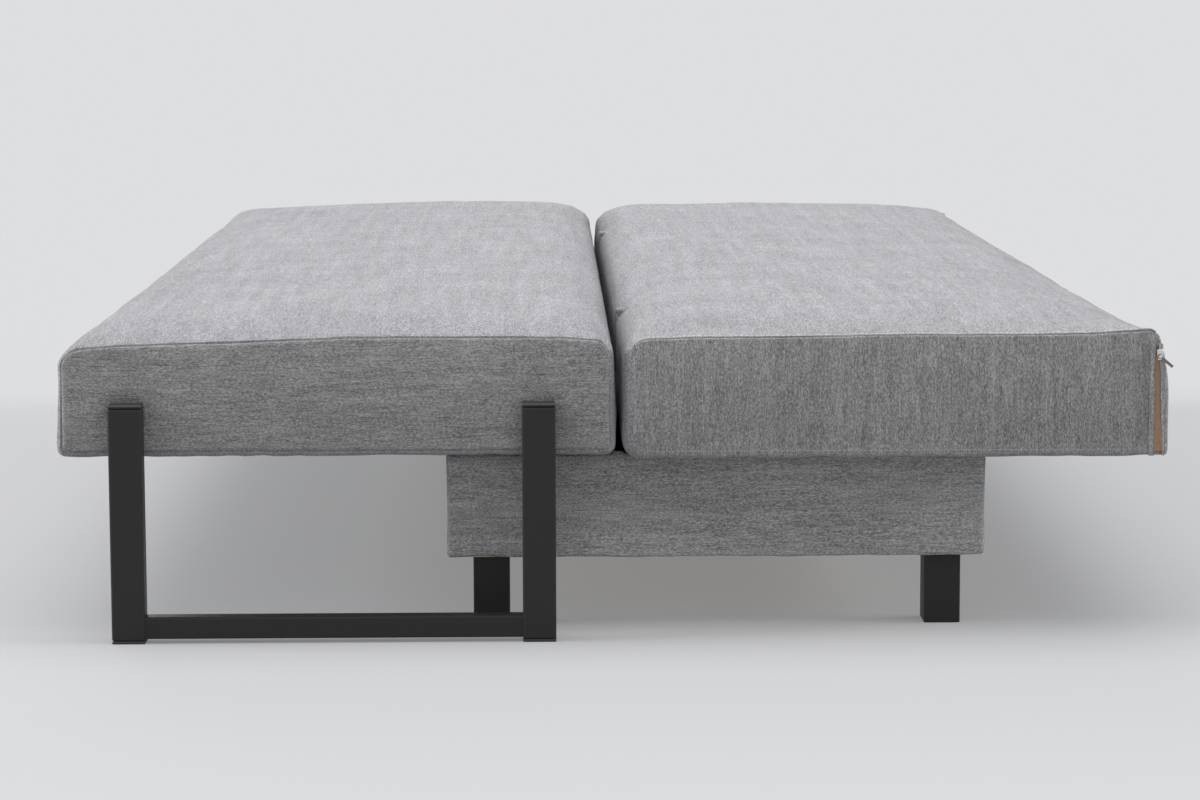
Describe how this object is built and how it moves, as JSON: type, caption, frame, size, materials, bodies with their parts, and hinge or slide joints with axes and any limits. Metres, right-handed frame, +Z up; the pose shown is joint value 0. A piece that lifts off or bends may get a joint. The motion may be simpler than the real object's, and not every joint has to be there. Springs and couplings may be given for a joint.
{
  "type": "futon sofa bed",
  "caption": "Low sofa bed lying flat: two padded halves side by side, one on U-shaped steel leg frames, one on an upholstered storage box with legs.",
  "frame": {"origin": "on the floor, under the middle of the bed's bounding box when it lies flat", "axes": "+X across the bed from the seat half to the back half, +Y along the 2 m length, +Z up"},
  "size_m": [1.2023, 2.052, 0.34],
  "materials": {
    "cover_fabric": "woven grey melange upholstery, matt",
    "box_fabric": "woven grey melange upholstery, matt",
    "foam": "foam and wadding, matt",
    "board": "raw board",
    "timber": "raw planed timber",
    "bottom_cloth": "black non-woven cloth",
    "black_steel": "satin powder coat",
    "black_legs": "black lacquer, satin",
    "black_plastic": "moulded, matt",
    "zinc_steel": "bright zinc plate",
    "zip_tape": "woven zip tape, matt",
    "zip_metal": "nickel plate"
  },
  "bodies": {
    "base": {"box_panel_front": "board", "box_panel_rear": "board", "box_panel_near": "board", "box_panel_far": "board", "box_floor": "board", "box_upholstery": "box_fabric", "leg_front_near": "black_legs", "leg_front_far": "black_legs", "leg_rear_near": "black_legs", "leg_rear_far": "black_legs", "slide_rail_near": "zinc_steel", "slide_rail_far": "zinc_steel"},
    "seat": {"seat_cover": "cover_fabric", "seat_core": "foam", "seat_rail_left": "timber", "seat_rail_right": "timber", "seat_rail_near": "timber", "seat_rail_far": "timber", "seat_bearer_near": "timber", "seat_bearer_far": "timber", "seat_slat_near": "timber", "seat_slat_far": "timber", "seat_bottom_cloth": "bottom_cloth", "leg_frame_near": "black_steel", "leg_frame_far": "black_steel", "cap_near_left": "black_plastic", "cap_near_right": "black_plastic", "cap_far_left": "black_plastic", "cap_far_right": "black_plastic", "glide_near_left": "black_plastic", "glide_near_right": "black_plastic", "glide_far_left": "black_plastic", "glide_far_right": "black_plastic", "frame_bolt_near_left": "zinc_steel", "frame_bolt_near_right": "zinc_steel", "frame_bolt_far_left": "zinc_steel", "frame_bolt_far_right": "zinc_steel", "carriage_near": "zinc_steel", "carriage_far": "zinc_steel", "hinge_arm_near": "zinc_steel", "hinge_arm_far": "zinc_steel"},
    "back": {"back_cover": "cover_fabric", "back_core": "foam", "back_rail_left": "timber", "back_rail_right": "timber", "back_rail_near": "timber", "back_rail_far": "timber", "back_slat_near": "timber", "back_slat_middle": "timber", "back_slat_far": "timber", "back_bottom_cloth": "bottom_cloth", "hinge_leaf_near": "zinc_steel", "hinge_leaf_far": "zinc_steel", "hinge_pin_near": "zinc_steel", "hinge_pin_far": "zinc_steel", "zip_tape": "zip_tape"},
    "zip_slider": {"zip_slider": "zip_metal"},
    "zip_pull": {"zip_pull": "zip_metal"}
  },
  "joints": [
    {"name": "seat_slide", "type": "slide", "parent": "base", "child": "seat", "axis": [1, 0, 0], "range_m": [0, 0.4]},
    {"name": "back_fold", "type": "hinge", "parent": "seat", "child": "back", "pos_m": [0.038, 0, 0.308], "axis": [0, -1, 0], "range_deg": [0, 78]},
    {"name": "zip_slide", "type": "slide", "parent": "back", "child": "zip_slider", "axis": [0, 0, 1], "range_m": [-0.095, 0]},
    {"name": "zip_pull_swing", "type": "hinge", "parent": "zip_slider", "child": "zip_pull", "pos_m": [0.588, -1.00495, 0.304], "axis": [0, -1, 0], "range_deg": [-50, 40]}
  ]
}
